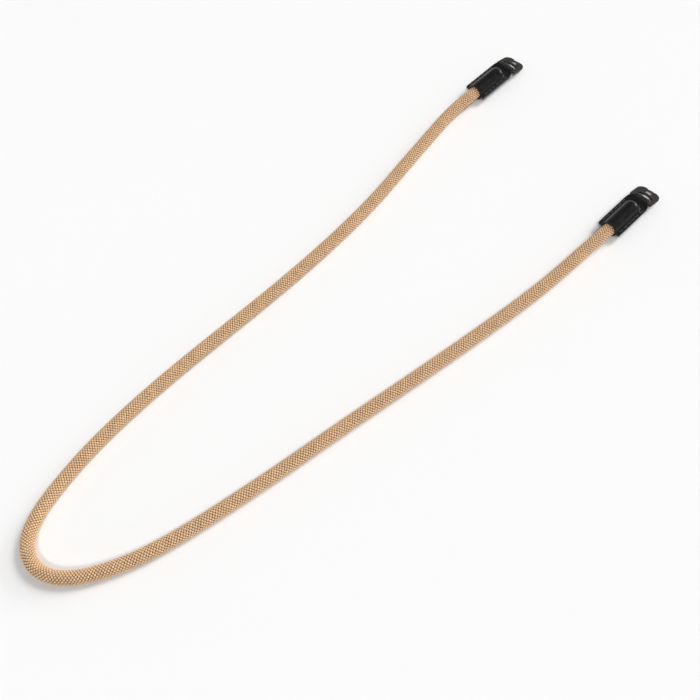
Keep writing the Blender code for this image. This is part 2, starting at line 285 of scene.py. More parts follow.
def rope_line(step):
    """The rope's centreline: on the floor, and up to the tabs' middle at its two ends."""
    into = (ROPE_INSERT, 0.0, -ROPE_STRAIGHT)
    first = [(MOUTH["a"][0], MOUTH["a"][1] + y) for y in into]
    last = [(MOUTH["b"][0], MOUTH["b"][1] + y) for y in reversed(into)]
    flat = smooth_curve(first + list(ROPE_ROUTE) + last, step)
    run = length_along(flat)
    from_end = np.minimum(run, run[-1] - run) - ROPE_INSERT - ROPE_STRAIGHT
    radius = bpy.context.scene.strap_rope.diameter / 2
    lift = (TAB_MIDDLE - radius) * (1 - smooth_step(from_end / ROPE_RISE))
    return np.column_stack([flat, radius + lift])


class Carrier:
    """A line with its directions at any distance: along it, to its side and up from it."""

    def __init__(self):
        line = rope_line(step=0.0005)
        self.run = length_along(line)
        along = np.gradient(line, self.run, axis=0)
        along /= np.linalg.norm(along, axis=1, keepdims=True)
        side = np.cross(along, (0.0, 0.0, 1.0))
        side /= np.linalg.norm(side, axis=1, keepdims=True)
        self.fields = np.concatenate([line, along, side, np.cross(side, along)], axis=1)

    def at(self, where):
        """Place, along, side and up at some distances, each with three numbers at the end."""
        parts = [np.interp(where, self.run, self.fields[:, k]) for k in range(12)]
        return np.split(np.stack(parts, axis=-1), 4, axis=-1)


def grid_quads(rows, columns, rows_close=False):
    """Faces of a grid whose columns close on themselves, and whose rows do if asked."""
    row = np.arange(rows if rows_close else rows - 1)[:, None]
    column = np.arange(columns)
    here = row * columns
    there = (row + 1) % rows * columns
    following = (column + 1) % columns
    corners = [here + column, here + following, there + following, there + column]
    return np.stack(corners, -1).reshape(-1, 4)


def grid_uv(along, around):
    """UV corners of the same faces: the distance along the rows, and the turns round."""
    around = np.append(around, around[0] + 1.0)
    u = np.stack([along[:-1], along[:-1], along[1:], along[1:]], -1)[:, None, :]
    v = np.stack([around[:-1], around[1:], around[1:], around[:-1]], -1)
    return np.stack(np.broadcast_arrays(u, v), -1).reshape(-1, 4, 2)


def end_caps(rows, sides):
    """The two end faces of a tube of rings, each of them facing away from the tube."""
    first = np.arange(sides)
    return [first[::-1], (rows - 1) * sides + first]


def joined(parts):
    """Some grids as one, each with its points, quads, caps and UV corners, renumbered in turn."""
    points, quads, caps, uv = zip(*parts)
    starts = np.concatenate([[0], np.cumsum([len(each) for each in points])[:-1]])
    quads = np.concatenate([faces + start for faces, start in zip(quads, starts)])
    caps = [cap + start for ends, start in zip(caps, starts) for cap in ends]
    return np.concatenate(points), quads, caps, np.concatenate(uv)


def flipped(quads, caps, uv):
    """The same faces seen from their other side."""
    return quads[:, ::-1], [cap[::-1] for cap in caps], None if uv is None else uv[:, ::-1]


def enclosed_volume(points, quads):
    """Volume inside closed quads: a sixth of the sum of the triple products of their halves."""
    a, b, c, d = (points[quads[:, k]] for k in range(4))
    return (np.sum(a * np.cross(b, c)) + np.sum(a * np.cross(c, d))) / 6


def add_object(name, data):
    """A new object in the scene."""
    item = bpy.data.objects.new(name, data)
    bpy.context.scene.collection.objects.link(item)
    return item


def make_piece(name, points, quads, caps=(), uv=None, values=None, sharp=None):
    """A mesh object at the origin, with its faces outwards, its UV map and its point values."""
    middle = points.mean(axis=0)
    if enclosed_volume(points - middle, quads) < 0:
        quads, caps, uv = flipped(quads, caps, uv)
    loops = np.concatenate([quads.ravel(), *caps]).astype(np.int32)
    sizes = np.concatenate([np.full(len(quads), 4), [len(cap) for cap in caps]]).astype(np.int32)
    mesh = bpy.data.meshes.new(name)
    mesh.vertices.add(len(points))
    mesh.vertices.foreach_set("co", points.astype(np.float32).ravel())
    mesh.loops.add(len(loops))
    mesh.loops.foreach_set("vertex_index", loops)
    mesh.polygons.add(len(sizes))
    starts = np.concatenate([[0], np.cumsum(sizes)[:-1]]).astype(np.int32)
    mesh.polygons.foreach_set("loop_start", starts)
    mesh.update(calc_edges=True)
    if mesh.validate():
        raise ValueError(f"{name} has faulty faces")
    if uv is not None:
        flat = np.zeros((len(loops), 2), np.float32)
        flat[:uv.size // 2] = uv.reshape(-1, 2)
        mesh.uv_layers.new(name="surface").data.foreach_set("uv", flat.ravel())
    for key, value in (values or {}).items():
        field = mesh.attributes.new(key, "FLOAT", "POINT")
        field.data.foreach_set("value", np.asarray(value, np.float32).ravel())
    mesh.shade_smooth()
    if sharp is not None:
        mesh.set_sharp_from_angle(angle=sharp)
    return add_object(name, mesh)


def dress(piece, material, slot, *nodes):
    """Give a piece its material, let it ride on the strap and stand for solids."""
    piece.data.materials.append(material)
    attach(piece, "root")
    if nodes:
        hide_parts(*nodes)


def feed(tree, socket, value):
    """Link an input to a socket, or set it to a value."""
    if isinstance(value, bpy.types.NodeSocket):
        tree.links.new(value, socket)
    else:
        socket.default_value = value


def node_of(tree, kind, settings=None, **inputs):
    """A shader node with some of its settings and inputs set."""
    node = tree.nodes.new(kind)
    for key, value in (settings or {}).items():
        setattr(node, key, value)
    for key, value in inputs.items():
        feed(tree, node.inputs[key.replace("_", " ")], value)
    return node


def new_material(name, **inputs):
    """A Principled material with constant values set on the shader's own sockets."""
    material = bpy.data.materials.new(name)
    material.use_nodes = True
    tree = material.node_tree
    shader = tree.nodes["Principled BSDF"]
    for key, value in inputs.items():
        shader.inputs[key.replace("_", " ")].default_value = value
    return material, tree, shader


def mix_of(tree, share, first, second):
    """Colour that runs from the first to the second with the share."""
    node = node_of(tree, "ShaderNodeMix", {"data_type": "RGBA"})
    for index, value in ((0, share), (6, first), (7, second)):
        feed(tree, node.inputs[index], value)
    return node.outputs[2]


def ramp_of(tree, share, first, last):
    """A value that eases from one (place, value) stop to another as the share runs between them."""
    node = node_of(
        tree, "ShaderNodeMapRange", {"interpolation_type": "SMOOTHSTEP"}, Value=share,
        From_Min=first[0], From_Max=last[0], To_Min=first[1], To_Max=last[1])
    return node.outputs["Result"]


def maths_of(tree, operation, *values):
    """What a maths node makes of some sockets and numbers."""
    node = node_of(tree, "ShaderNodeMath", {"operation": operation})
    for socket, value in zip(node.inputs, values):
        feed(tree, socket, value)
    return node.outputs[0]


def tint(colour, share=1.0):
    """A colour times a share, with its alpha."""
    return (*[share * part for part in colour], 1.0)


def object_noise(tree, scale, detail):
    """Noise in the object's own space."""
    coords = node_of(tree, "ShaderNodeTexCoord").outputs["Object"]
    node = node_of(tree, "ShaderNodeTexNoise", Vector=coords, Scale=scale, Detail=detail)
    return node.outputs["Fac"]


def fibre_noise(tree, stretch, scale, detail, dimensions="3D"):
    """Noise drawn out along the surface's UV, as the filaments of a yarn are."""
    uv = node_of(tree, "ShaderNodeUVMap", {"uv_map": "surface"}).outputs["UV"]
    place = node_of(tree, "ShaderNodeMapping", Vector=uv, Scale=stretch).outputs["Vector"]
    node = node_of(
        tree, "ShaderNodeTexNoise", {"noise_dimensions": dimensions}, Vector=place, Scale=scale,
        Detail=detail)
    return node.outputs["Fac"]


def attribute_of(tree, name):
    """A point value of the mesh."""
    return node_of(tree, "ShaderNodeAttribute", {"attribute_name": name}).outputs["Fac"]


def surface_of(tree, shader, colour, height, distance, strength=1.0):
    """Give a shader its colour, and tilt its normals by a height over its surface."""
    tree.links.new(colour, shader.inputs["Base Color"])
    node = node_of(tree, "ShaderNodeBump", Height=height, Distance=distance, Strength=strength)
    tree.links.new(node.outputs["Normal"], shader.inputs["Normal"])


def yarn_material(rope):
    """Tan yarn: filaments run along each strand, and painted shade darkens the colour towards the
    gaps.
    """
    material, tree, shader = new_material(
        "strap_yarn", Roughness=0.32, Specular_IOR_Level=1.0, Anisotropic=0.6,
        Anisotropic_Rotation=0.25)
    tangent = node_of(tree, "ShaderNodeTangent", {"direction_type": "UV_MAP", "uv_map": "surface"})
    tree.links.new(tangent.outputs["Tangent"], shader.inputs["Tangent"])
    fibre = fibre_noise(tree, (450.0, 9.0, 1.0), scale=2.2, detail=3.0, dimensions="2D")
    shade = maths_of(tree, "MULTIPLY_ADD", fibre, 0.9, attribute_of(tree, "tone"))
    face = mix_of(tree, shade, tint(rope.light, 0.70), tint(rope.light, 1.17))
    # Painted shade: points that lie low between the floats take the dark gap colour
    lit = ramp_of(tree, attribute_of(tree, "height"), (0.54, 0.0), (0.90, 1.0))
    colour = mix_of(tree, lit, tint(rope.gap_shade), face)
    surface_of(tree, shader, colour, fibre, distance=0.00022, strength=0.8)
    return material


def core_material(rope):
    """The core, seen only through the gaps of the braid, in the dark colour of the yarn's painted
    shade.
    """
    material, tree, shader = new_material("strap_core", Roughness=0.8)
    noise = object_noise(tree, scale=900.0, detail=2.0)
    colour = mix_of(tree, noise, tint(rope.gap_shade, 0.6), tint(rope.gap_shade))
    surface_of(tree, shader, colour, noise, distance=0.0002)
    return material


def leather_material(name, face, cut_edge, roughness, grain):
    """Smooth leather: pebble grain, cloudy colour and gloss, dark dents, paler cut edges, painted
    stitch shade and highlights.
    """
    material, tree, shader = new_material(name, Specular_IOR_Level=0.32)
    coords = node_of(tree, "ShaderNodeTexCoord").outputs["Object"]
    pebble = node_of(
        tree, "ShaderNodeTexVoronoi", {"feature": "SMOOTH_F1"}, Vector=coords, Scale=grain,
        Smoothness=0.6)
    cloud = object_noise(tree, scale=grain / 9, detail=4.0)
    patchy = ramp_of(tree, cloud, (0.35, 0.4), (0.65, 1.0))
    # Paler cut edges, and a painted highlight on each bridge between stitches
    worn_and_highlight = maths_of(tree, "MULTIPLY", attribute_of(tree, "edge"), patchy)
    colour = mix_of(tree, cloud, tint(face), tint(face, 1.8))
    # Darker in the ticks, and painted shade in the stitch grooves
    colour = mix_of(tree, attribute_of(tree, "dent_and_shade"), colour, tint(face, 0.15))
    colour = mix_of(tree, worn_and_highlight, colour, tint(cut_edge))
    gloss = ramp_of(tree, cloud, (0.3, roughness - 0.06), (0.7, roughness + 0.08))
    tree.links.new(gloss, shader.inputs["Roughness"])
    fine = object_noise(tree, scale=grain * 2.5, detail=3.0)
    height = maths_of(tree, "MULTIPLY_ADD", fine, 0.5, pebble.outputs["Distance"])
    surface_of(tree, shader, colour, height, distance=0.00006, strength=0.5)
    return material


def thread_material():
    """Waxed black thread, streaked along its plies."""
    material, tree, shader = new_material("strap_thread", Roughness=0.38)
    noise = fibre_noise(tree, (3000.0, 12.0, 1.0), scale=1.0, detail=2.0)
    colour = mix_of(tree, noise, tint((0.030, 0.030, 0.029)), tint((0.080, 0.078, 0.075)))
    surface_of(tree, shader, colour, noise, distance=0.00005, strength=0.5)
    return material


def steel_material(colour):
    """Blackened steel strip with faint marks."""
    material, tree, shader = new_material("strap_steel", Metallic=1.0)
    marks = object_noise(tree, scale=1500.0, detail=4.0)
    colour = mix_of(tree, marks, tint(colour, 0.6), tint(colour, 1.3))
    tree.links.new(ramp_of(tree, marks, (0.3, 0.20), (0.7, 0.36)), shader.inputs["Roughness"])
    surface_of(tree, shader, colour, marks, distance=0.00003, strength=0.5)
    return material


def floor_material(colour):
    """A matt pale floor with the faintest clouds."""
    material, tree, shader = new_material("studio_floor", Roughness=0.75, Specular_IOR_Level=0.2)
    cloud = object_noise(tree, scale=3.0, detail=2.0)
    colour = mix_of(tree, cloud, tint(colour, 0.99), tint(colour))
    tree.links.new(colour, shader.inputs["Base Color"])
    return material


class STRAP_OT_core(bpy.types.Operator):
    """Build the rope's core, which carries the strands and stands for the rope"""

    bl_idname = "strap.core"
    bl_label = "Rope core"

    def execute(self, context):
        rope = context.scene.strap_rope
        line = Carrier()
        where = np.linspace(0.0, line.run[-1], round(line.run[-1] / CORE_STEP) + 1)
        place, _, side, up = line.at(where)
        turn = (np.arange(CORE_SIDES) * math.tau / CORE_SIDES)[:, None]
        radius = rope.diameter / 2 - rope.strand_height - CORE_CLEAR
        # A circle about the centreline, carried along it
        out = np.cos(turn) * side[:, None] + np.sin(turn) * up[:, None]
        points = (place[:, None] + radius * out).reshape(-1, 3)
        quads = grid_quads(len(where), CORE_SIDES)
        core = make_piece("rope_core", points, quads, end_caps(len(where), CORE_SIDES))
        dress(core, core_material(rope), "braided_cord", "rope")
        return {"FINISHED"}


class STRAP_OT_braid(bpy.types.Operator):
    bl_idname = "strap.braid"
    bl_label = "Braided strands"

    # Share of a pitch at which each ring of a strand lies, from the top of a float
    RING_AT = np.array((0.0, 0.12, 0.23, 0.5, 0.77, 0.88))
    # Height of the strand's middle there, from -1 in the dive to 1 on top, and its fullness
    RING_HEIGHT = np.array((1.0, 0.84, 0.00, -1.0, 0.00, 0.84))
    RING_FULL = np.array((1.0, 1.0, 0.82, 0.72, 0.82, 1.0))
    # The flattened section of a strand: shares of half its width and half its height
    SECTION = np.array((
        (1.0, -0.25), (0.80, 0.60), (0.0, 1.0), (-0.80, 0.60), (-1.0, -0.25), (0.0, -1.0)))
    # Painted shade: the yarn darkens where a point lies little open, low in the gaps
    # How open a point lies, from 0 to 1: the part that the wave gives, and the rest by the section
    OPEN_BY_WAVE = 0.65
    # Strands differ in fullness by this share, and in tone up to this
    UNEVEN = 0.05
    TONE = 0.45

    def strand_points(self, line, way, number):
        """One strand: a flat oval section carried along a helix that waves in and out.

        The helix turns by one column in half a pitch. It is on top where it crosses a strand of the
        other way, at every whole pitch for one way and every half pitch for the other.
        """
        rope = bpy.context.scene.strap_rope
        random = np.random.default_rng(100 * number + (way > 0))
        each_way = rope.strands // 2
        floats = int(line.run[-1] / rope.pitch)
        phase = 0.0 if way > 0 else 0.5
        cell = np.arange(-1, floats + 1)[:, None]
        where = (cell + phase + self.RING_AT) * rope.pitch
        inside = (where > 0.0) & (where < line.run[-1])
        lively = 1 + self.UNEVEN * random.standard_normal((len(cell), 1))
        height = np.broadcast_to(self.RING_HEIGHT, where.shape)[inside]
        full = (self.RING_FULL * lively)[inside]
        tone = np.broadcast_to(random.uniform(0.0, self.TONE, (len(cell), 1)), where.shape)[inside]
        where = where[inside]
        turn = way * where * math.tau / (each_way * rope.pitch) + math.tau * number / each_way
        place, along, side, up = line.at(where)
        out = np.cos(turn)[:, None] * side + np.sin(turn)[:, None] * up
        around = np.cos(turn)[:, None] * up - np.sin(turn)[:, None] * side
        middle = rope.diameter / 2 - rope.strand_height / 2 - rope.wave
        slant = math.atan2(math.tau * middle / rope.strands, rope.pitch / 2)
        across = math.cos(slant) * around - way * math.sin(slant) * along
        centre = place + (middle + rope.wave * height)[:, None] * out
        wide, high = self.SECTION[:, 0], self.SECTION[:, 1]
        points = (
            centre[:, None]
            + (full[:, None] * rope.strand_width / 2 * wide)[..., None] * across[:, None]
            + (full[:, None] * rope.strand_height / 2 * high)[..., None] * out[:, None]
        )
        # This level sets the yarn's painted shade
        by_wave = self.OPEN_BY_WAVE
        level = by_wave * (height[:, None] + 1) / 2 + (1 - by_wave) * (high + 1) / 2
        return points, level, np.broadcast_to(tone[:, None], level.shape), where / math.cos(slant)

    def execute(self, context):
        rope = context.scene.strap_rope
        line = Carrier()
        each_way = rope.strands // 2
        sides = len(self.SECTION)
        pieces = []
        # Each piece holds half the strands of one way, so that it stays a handy size
        for way, name in ((1, "right"), (-1, "left")):
            for half in (0, 1):
                parts, level, tone = [], [], []
                for number in range(half, each_way, 2):
                    grid, height, shade, run = self.strand_points(line, way, number)
                    level.append(height.ravel())
                    tone.append(shade.ravel())
                    rows = len(grid)
                    parts.append((
                        grid.reshape(-1, 3), grid_quads(rows, sides), end_caps(rows, sides),
                        grid_uv(run, np.arange(sides) / sides + number)))
                # The openness, kept as "height", sets the yarn's painted shade; the tone is each
                # float's own
                values = {"height": np.concatenate(level), "tone": np.concatenate(tone)}
                pieces.append(make_piece(
                    f"rope_strands_{name}_{half + 1}", *joined(parts), values=values))
        yarn = yarn_material(rope)
        for piece in pieces:
            dress(piece, yarn, "braided_cord")
        path = rope_line(step=0.005)
        return {"FINISHED"}


def foot_reach():
    """From the swell's middle to where its hollow foot meets the flat layer."""
    return math.sqrt((SWELL_RADIUS + FOOT_RADIUS) ** 2 - (LEATHER + FOOT_RADIUS) ** 2)


def section_height(distance):
    """Half the thickness of a tab, at a distance from the swell's middle.

    A circle turns through a hollow foot into the flat layer.
    """
    foot_end = foot_reach()
    touch = foot_end * SWELL_RADIUS / (SWELL_RADIUS + FOOT_RADIUS)
    swell = np.sqrt(np.maximum(SWELL_RADIUS ** 2 - distance ** 2, 0.0))
    reach = np.clip(foot_end - distance, 0.0, FOOT_RADIUS)
    foot = LEATHER + FOOT_RADIUS - np.sqrt(FOOT_RADIUS ** 2 - reach ** 2)
    return np.where(distance < touch, swell, foot)


def column_places():
    """Places across a tab, from its middle to its rounded edge: dense where the foot is steep."""
    edge = bpy.context.scene.strap_tab.edge_round
    foot_end = foot_reach()
    steep = math.asin(foot_end / (SWELL_RADIUS + FOOT_RADIUS))
    swell = SWELL_RADIUS * np.sin(np.linspace(0.0, steep, 23))
    foot = np.linspace(swell[-1], foot_end, 7)[1:]
    flat = np.linspace(foot_end, TAB_WIDTH / 2 - edge, 9)[1:]
    half = np.concatenate([swell, foot, flat])
    return np.concatenate([-half[:0:-1], half])


def lean_line(distance):
    """The tab's middle line, as y and z from its mouth, and its slope there.

    The slope grows smoothly from level to the lean, half before and half after the layers part.
    """
    # Summed in steps of 0.05 mm, to past the fold's nose
    fine = np.linspace(0.0, 0.06, 1201)
    slope = LEAN * smooth_step((fine - FOLD_START + LEAN_EASE / 2) / LEAN_EASE)
    step = fine[1] - fine[0]
    y = np.concatenate([[0.0], np.cumsum(np.cos(slope[:-1]) * step)])
    z = TAB_MIDDLE - np.concatenate([[0.0], np.cumsum(np.sin(slope[:-1]) * step)])
    return [np.interp(distance, fine, field) for field in (y, z, slope)]


def stitch_holes():
    """Distances from the mouth at which the needle went through."""
    tab = bpy.context.scene.strap_tab
    return STITCH_FIRST + tab.stitch_pitch * np.arange(tab.stitches + 1)


def pressed_in(x, distance):
    """What is pressed into the leather's face: grooves, ticks, bridges and the grooves' painted
    shade.

    A groove and its painted shade are bell curves across a row of stitches. A bridge is a bell
    curve both ways about a hole, where one stitch ends and the next begins, and is also painted
    lighter as a highlight. A tick is a flat-topped bell.
    """
    tab = bpy.context.scene.strap_tab
    holes = stitch_holes()
    beside = (np.abs(x) - tab.stitch_line) / GROOVE_HALF
    along = smooth_step((distance - holes[0] + GROOVE_EASE) / GROOVE_EASE)
    along = along * smooth_step((holes[-1] + GROOVE_EASE - distance) / GROOVE_EASE)
    nearest = np.abs(distance[..., None] - holes).min(axis=-1)
    bridge = np.exp(-beside ** 2 - (nearest / BRIDGE_HALF) ** 2) * along
    groove = GROOVE_DEPTH * np.exp(-beside ** 2) * along - BRIDGE_HEIGHT * bridge
    row_start = TICK_FIRST - TICK_PITCH / 2
    from_tick = (distance - row_start) % TICK_PITCH - TICK_PITCH / 2
    in_row = (distance > row_start) & (distance < row_start + TICKS * TICK_PITCH)
    tall = smooth_step((TICK_REACH - np.abs(x + TICK_ASIDE)) / TICK_EASE)
    tick = TICK_DEPTH * np.exp(-(from_tick / TICK_HALF) ** 4) * tall * in_row
    beside = (np.abs(x) - tab.stitch_line) / SHADE_HALF
    along = (distance > holes[0] - SHADE_PAST) & (distance < holes[-1] + SHADE_PAST)
    shade = np.clip(np.exp(-beside ** 2) * along - bridge, 0.0, 1.0)
    return groove, tick, bridge, shade


class STRAP_OT_tabs(bpy.types.Operator):
    """Fold a leather strip round each end of the rope and through its ring"""

    bl_idname = "strap.tabs"
    bl_label = "Leather tabs"

    def strip(self, end):
        """One tab as one folded strip of leather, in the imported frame.

        The rows run along the upper layer from the mouth, round the nose of the fold and back along
        the lower layer. Each row is the strip's own section: its face, a round edge, its back and a
        round edge. A point lies at its height from the tab's middle line, and round the nose at its
        radius from the nose's middle.
        """
        tab = bpy.context.scene.strap_tab
        edge = tab.edge_round
        nose = FOLD_START + FOLD_LENGTH - FOLD_HALF
        # Rows: distance along the middle line, turn round the nose, and fullness at the cut end
        squeeze = np.radians((70.0, 45.0, 20.0))
        cut = edge * (1 - np.sin(squeeze))
        layer = np.concatenate([cut, np.linspace(edge, nose, LAYER_ROWS)])
        full = np.concatenate([np.cos(squeeze), np.ones(LAYER_ROWS)])
        turns = np.linspace(0.0, math.pi, 17)[1:-1]
        distance = np.concatenate([layer, np.full(len(turns), nose), layer[::-1]])
        full = np.concatenate([full, np.ones(len(turns)), full[::-1]])
        turn = np.concatenate([np.zeros(len(layer)), turns, np.full(len(layer), math.pi)])
        y, z, slope = lean_line(distance)
        ahead = np.stack([np.cos(slope), -np.sin(slope)], -1)
        above = np.stack([np.sin(slope), np.cos(slope)], -1)
        out = np.cos(turn)[:, None] * above + np.sin(turn)[:, None] * ahead

        # Columns: across the face, and back across the other side
        past = np.clip(distance - FOLD_START, 0.0, None)
        narrowed = smooth_step(past / (FOLD_LENGTH - FOLD_NARROW))
        half_width = TAB_WIDTH / 2 + (FOLD_WIDTH - TAB_WIDTH) / 2 * narrowed
        across = column_places() / (TAB_WIDTH / 2 - edge) * (half_width - edge)[:, None]
        run = np.broadcast_to(distance[:, None], across.shape)
        in_dome = np.clip(run - ROPE_INSERT, 0.0, None)
        from_middle = np.hypot(across, in_dome * DOME_STEEP)
        spread = POCKET_HALF * smooth_step(past / FOLD_OPEN)[:, None]
        face = np.where(run < FOLD_START, section_height(from_middle), LEATHER) + spread
        pressed, ticks, bridge, shade = pressed_in(across, run)
        upper = (turn < math.pi / 2)[:, None]
        face = face - pressed - ticks * upper
        back_in = np.hypot(across, in_dome * CAVITY_STEEP)
        back = np.sqrt(np.maximum(CAVITY_RADIUS ** 2 - back_in ** 2, 0.0))
        back = np.maximum(np.where(run < FOLD_START, back, 0.0), LAYER_GAP) + spread
        middle = (face + back) / 2
        face = middle + (face - middle) * full[:, None]
        back = middle + (back - middle) * full[:, None]

        # Round edges at both sides
        swing = np.radians((60.0, 30.0, 0.0, -30.0, -60.0))
        rim_x = (half_width - edge)[:, None] + edge * np.cos(swing)
        rim_share = (1 - np.sin(swing)) / 2
        rim_right = face[:, -1:] + (back - face)[:, -1:] * rim_share
        rim_left = back[:, :1] + (face - back)[:, :1] * rim_share
        x = np.concatenate([across, rim_x, across[:, ::-1], -rim_x], axis=1)
        height = np.concatenate([face, rim_right, back[:, ::-1], rim_left], axis=1)
        points = np.stack([
            MOUTH[end][0] + x,
            MOUTH[end][1] + y[:, None] + height * out[:, :1],
            z[:, None] + height * out[:, 1:],
        ], axis=-1)

        # Values for the material: cut edges and the painted highlight on each bridge, and pressed
        # places with the painted shade in the stitch grooves
        worn_and_highlight = np.zeros_like(x)
        columns = across.shape[1]
        rim = len(swing)
        worn_and_highlight[:, columns:columns + rim] = 1.0
        worn_and_highlight[:, 2 * columns + rim:] = 1.0
        worn_and_highlight[full < 1.0] = 1.0
        # Painted highlight: the bridges between stitches take the cut edge's paler colour
        worn_and_highlight[:, :columns] += BRIDGE_HIGHLIGHT * bridge
        dent_and_shade = np.zeros_like(x)
        # Darker in the ticks, and painted shade along each row of stitches
        dent_and_shade[:, :columns] = ticks * upper / TICK_DARK + shade
        return points, worn_and_highlight, dent_and_shade, columns, rim

    def execute(self, context):
        tab = context.scene.strap_tab
        leather = leather_material(
            "strap_leather", tab.leather, tab.cut_edge, roughness=0.30, grain=1700.0)
        for end in ENDS:
            points, worn_and_highlight, dent_and_shade, columns, rim = self.strip(end)
            rows, loop = points.shape[:2]
            # The cut ends of both layers: a ladder from the face to the back, and both round edges
            face = np.arange(columns)
            back = 2 * columns + rim - 1 - face
            ladder = np.stack([face[:-1], back[:-1], back[1:], face[1:]], -1)
            right = np.arange(columns - 1, columns + rim + 1)[::-1]
            left = np.append(np.arange(2 * columns + rim - 1, loop), 0)[::-1]
            last = (rows - 1) * loop
            quads = np.concatenate([grid_quads(rows, loop), ladder, ladder[:, ::-1] + last])
            caps = [right, left, right[::-1] + last, left[::-1] + last]
            piece = make_piece(
                f"leather_tab_{end}", points.reshape(-1, 3), quads, caps,
                values={"edge": worn_and_highlight, "dent_and_shade": np.clip(dent_and_shade, 0.0, 1.0)})
            dress(piece, leather, "black_leather", f"end_tab_{end}")
        return {"FINISHED"}


class STRAP_OT_stitches(bpy.types.Operator):
    """Sew both edges of each tab, above and below"""

    bl_idname = "strap.stitches"
    bl_label = "Stitches"

    # How deep a stitch sits, how much deeper it dips at a hole, and how far it leans there
    SUNK = 0.0002
    DIP = 0.0004
    SLANT = 0.00014
    # Shares: the relief of the plies, the thinning at a hole, and the gap to the hole at each end
    PLY = 0.13
    THINNED = 0.5
    SHORT = 0.10

    def execute(self, context):
        tab = context.scene.strap_tab
        holes = stitch_holes()
        rows, sides = 15, 8
        share = np.linspace(0.0, 1.0, rows)
        turn = np.arange(sides) / sides
        around = turn * math.tau
        thread = thread_material()
        # One stitch: a flat arch that dips at both holes, of two plies twisted one and a half times
        from_middle = 2 * share - 1
        arch = LEATHER - self.SUNK - self.DIP * from_middle ** 6
        ply = tab.thread / 2 * (1 + self.PLY * np.cos(2 * around - 3 * math.tau * share[:, None]))
        ply *= (1 - self.THINNED * np.abs(from_middle) ** 8)[:, None]
        for end in ENDS:
            parts = []
            for hand in (-1, 1):
                for face in (-1, 1):
                    for first, second in zip(holes[:-1], holes[1:]):
                        y = first + (second - first) * (self.SHORT + (1 - 2 * self.SHORT) * share)
                        x = hand * (tab.stitch_line + self.SLANT * from_middle * face)
                        lift = (arch[:, None] + ply * np.sin(around)) * face
                        grid = np.stack([
                            MOUTH[end][0] + x[:, None] + ply * np.cos(around),
                            np.broadcast_to(MOUTH[end][1] + y[:, None], ply.shape),
                            TAB_MIDDLE + lift,
                        ], -1)
                        faces = grid_quads(rows, sides), end_caps(rows, sides), grid_uv(y, turn)
                        if face < 0:
                            faces = flipped(*faces)
                        parts.append((grid.reshape(-1, 3), *faces))
            dress(make_piece(f"stitches_{end}", *joined(parts)), thread, "black_leather")
        return {"FINISHED"}


def on_lean(end, x, s, height):
    """A point x across, s past where the layers part and a height above the leaning middle line."""
    return np.stack(np.broadcast_arrays(
        MOUTH[end][0] + x,
        MOUTH[end][1] + FOLD_START + s * math.cos(LEAN) + height * math.sin(LEAN),
        TAB_MIDDLE - s * math.sin(LEAN) + height * math.cos(LEAN),
    ), axis=-1)


def bow(centre, radius, first, last, count):
    """Points on an arc between two angles in degrees, with its radius along x and y."""
    turn = np.radians(np.linspace(first, last, count))
    return np.add(centre, np.stack([np.cos(turn), np.sin(turn)], -1) * radius)


